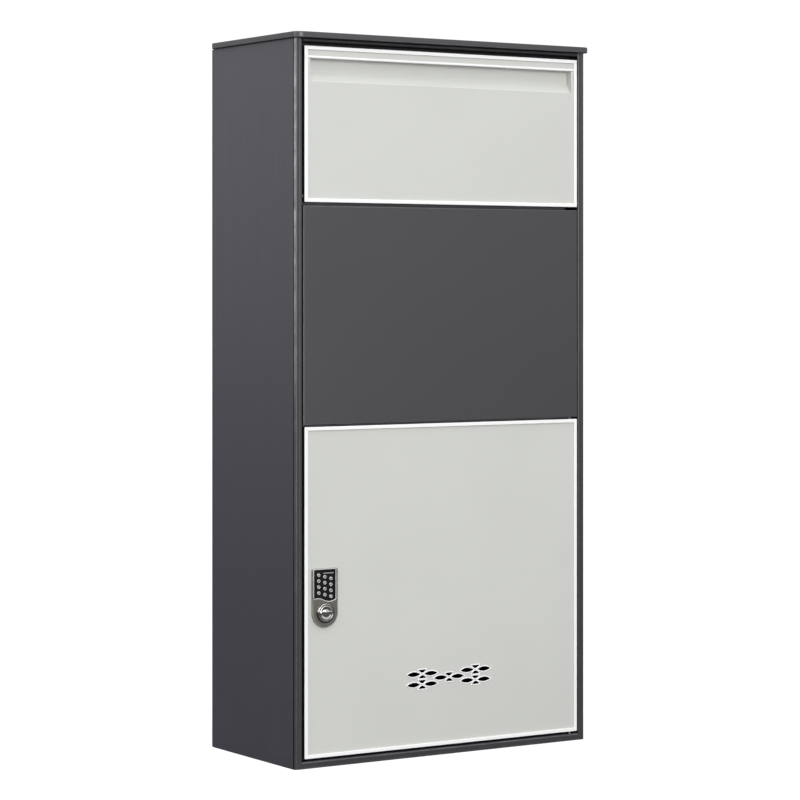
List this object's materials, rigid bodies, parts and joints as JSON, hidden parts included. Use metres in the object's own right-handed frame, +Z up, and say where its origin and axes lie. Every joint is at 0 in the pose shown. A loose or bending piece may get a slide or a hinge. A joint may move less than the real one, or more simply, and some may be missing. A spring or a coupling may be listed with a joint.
{
  "type": "parcel drop box",
  "caption": "Tall free-standing steel parcel drop box with a tilting hopper flap at the top, a fixed middle panel and a lockable keypad door below.",
  "frame": {"origin": "centre of the box's footprint on the floor, under the middle of the overall width and depth", "axes": "+Z up; the front with the flap, door and lock faces -Y; +X to the right as seen from the front"},
  "size_m": [0.494, 0.243, 1],
  "materials": {
    "graphite_powder_coat": "satin powder coat",
    "light_grey_coat": "satin powder coat",
    "white_edge": "semi-gloss",
    "inner_grey_coat": "satin powder coat",
    "zinc_steel": "bright zinc plated",
    "bumper_rubber": "matt",
    "lock_nickel": "satin nickel",
    "lock_chrome": "polished",
    "keypad_gloss": "gloss",
    "lock_plastic": "matt"
  },
  "bodies": {
    "cabinet": {"left_side_panel": "graphite_powder_coat", "right_side_panel": "graphite_powder_coat", "back_panel": "graphite_powder_coat", "top_cap": "graphite_powder_coat", "left_jamb": "graphite_powder_coat", "right_jamb": "graphite_powder_coat", "sill_rail": "graphite_powder_coat", "head_rail": "graphite_powder_coat", "middle_panel": "graphite_powder_coat", "base_pan": "inner_grey_coat", "roof_panel": "inner_grey_coat", "upper_cross_rail": "inner_grey_coat", "lower_cross_rail": "inner_grey_coat", "anti_theft_baffle": "inner_grey_coat", "door_hinge_bracket_lower": "zinc_steel", "door_hinge_bracket_upper": "zinc_steel", "door_hinge_pin_lower": "zinc_steel", "door_hinge_pin_upper": "zinc_steel", "flap_pivot_bracket_left": "zinc_steel", "flap_pivot_bracket_right": "zinc_steel", "flap_pivot_pin_left": "zinc_steel", "flap_pivot_pin_right": "zinc_steel", "strike_plate": "zinc_steel", "door_bumper_lower": "bumper_rubber", "door_bumper_upper": "bumper_rubber", "flap_bumper_left": "bumper_rubber", "flap_bumper_right": "bumper_rubber"},
    "flap": {"flap_skin": "light_grey_coat", "flap_edge_trim": "white_edge", "flap_pull_channel": "light_grey_coat", "flap_liner": "inner_grey_coat", "hopper_floor": "inner_grey_coat", "hopper_cheek_left": "inner_grey_coat", "hopper_cheek_right": "inner_grey_coat"},
    "door": {"door_skin": "light_grey_coat", "door_edge_trim": "white_edge", "door_liner": "inner_grey_coat", "lock_faceplate": "lock_nickel", "keypad_window": "keypad_gloss", "lock_ring": "lock_chrome", "lock_housing": "lock_plastic", "battery_cover": "lock_plastic", "lock_screw_lower": "zinc_steel", "lock_screw_upper": "zinc_steel"},
    "knob": {"lock_knob": "lock_chrome", "lock_cam": "zinc_steel", "cam_screw": "zinc_steel"},
    "key_1": {"key_1": "lock_chrome"},
    "key_2": {"key_2": "lock_chrome"},
    "key_3": {"key_3": "lock_chrome"},
    "key_4": {"key_4": "lock_chrome"},
    "key_5": {"key_5": "lock_chrome"},
    "key_6": {"key_6": "lock_chrome"},
    "key_7": {"key_7": "lock_chrome"},
    "key_8": {"key_8": "lock_chrome"},
    "key_9": {"key_9": "lock_chrome"},
    "key_10": {"key_10": "lock_chrome"},
    "key_11": {"key_11": "lock_chrome"},
    "key_12": {"key_12": "lock_chrome"}
  },
  "joints": [
    {"name": "flap_tilt", "type": "hinge", "parent": "cabinet", "child": "flap", "pos_m": [0, -0.1065, 0.7773], "axis": [1, 0, 0], "range_deg": [0, 50]},
    {"name": "door_swing", "type": "hinge", "parent": "cabinet", "child": "door", "pos_m": [0.2195, -0.107, 0.2388], "axis": [0, 0, 1], "range_deg": [0, 110]},
    {"name": "knob_turn", "type": "hinge", "parent": "door", "child": "knob", "pos_m": [-0.1972, -0.1, 0.2108], "axis": [0, 1, 0], "range_deg": [0, 90]},
    {"name": "key_1_press", "type": "slide", "parent": "door", "child": "key_1", "axis": [0, 1, 0], "range_m": [0, 0.0005], "stiffness_N_per_m": 200, "springref_m": -0.001},
    {"name": "key_2_press", "type": "slide", "parent": "door", "child": "key_2", "axis": [0, 1, 0], "range_m": [0, 0.0005], "stiffness_N_per_m": 200, "springref_m": -0.001},
    {"name": "key_3_press", "type": "slide", "parent": "door", "child": "key_3", "axis": [0, 1, 0], "range_m": [0, 0.0005], "stiffness_N_per_m": 200, "springref_m": -0.001},
    {"name": "key_4_press", "type": "slide", "parent": "door", "child": "key_4", "axis": [0, 1, 0], "range_m": [0, 0.0005], "stiffness_N_per_m": 200, "springref_m": -0.001},
    {"name": "key_5_press", "type": "slide", "parent": "door", "child": "key_5", "axis": [0, 1, 0], "range_m": [0, 0.0005], "stiffness_N_per_m": 200, "springref_m": -0.001},
    {"name": "key_6_press", "type": "slide", "parent": "door", "child": "key_6", "axis": [0, 1, 0], "range_m": [0, 0.0005], "stiffness_N_per_m": 200, "springref_m": -0.001},
    {"name": "key_7_press", "type": "slide", "parent": "door", "child": "key_7", "axis": [0, 1, 0], "range_m": [0, 0.0005], "stiffness_N_per_m": 200, "springref_m": -0.001},
    {"name": "key_8_press", "type": "slide", "parent": "door", "child": "key_8", "axis": [0, 1, 0], "range_m": [0, 0.0005], "stiffness_N_per_m": 200, "springref_m": -0.001},
    {"name": "key_9_press", "type": "slide", "parent": "door", "child": "key_9", "axis": [0, 1, 0], "range_m": [0, 0.0005], "stiffness_N_per_m": 200, "springref_m": -0.001},
    {"name": "key_10_press", "type": "slide", "parent": "door", "child": "key_10", "axis": [0, 1, 0], "range_m": [0, 0.0005], "stiffness_N_per_m": 200, "springref_m": -0.001},
    {"name": "key_11_press", "type": "slide", "parent": "door", "child": "key_11", "axis": [0, 1, 0], "range_m": [0, 0.0005], "stiffness_N_per_m": 200, "springref_m": -0.001},
    {"name": "key_12_press", "type": "slide", "parent": "door", "child": "key_12", "axis": [0, 1, 0], "range_m": [0, 0.0005], "stiffness_N_per_m": 200, "springref_m": -0.001}
  ]
}
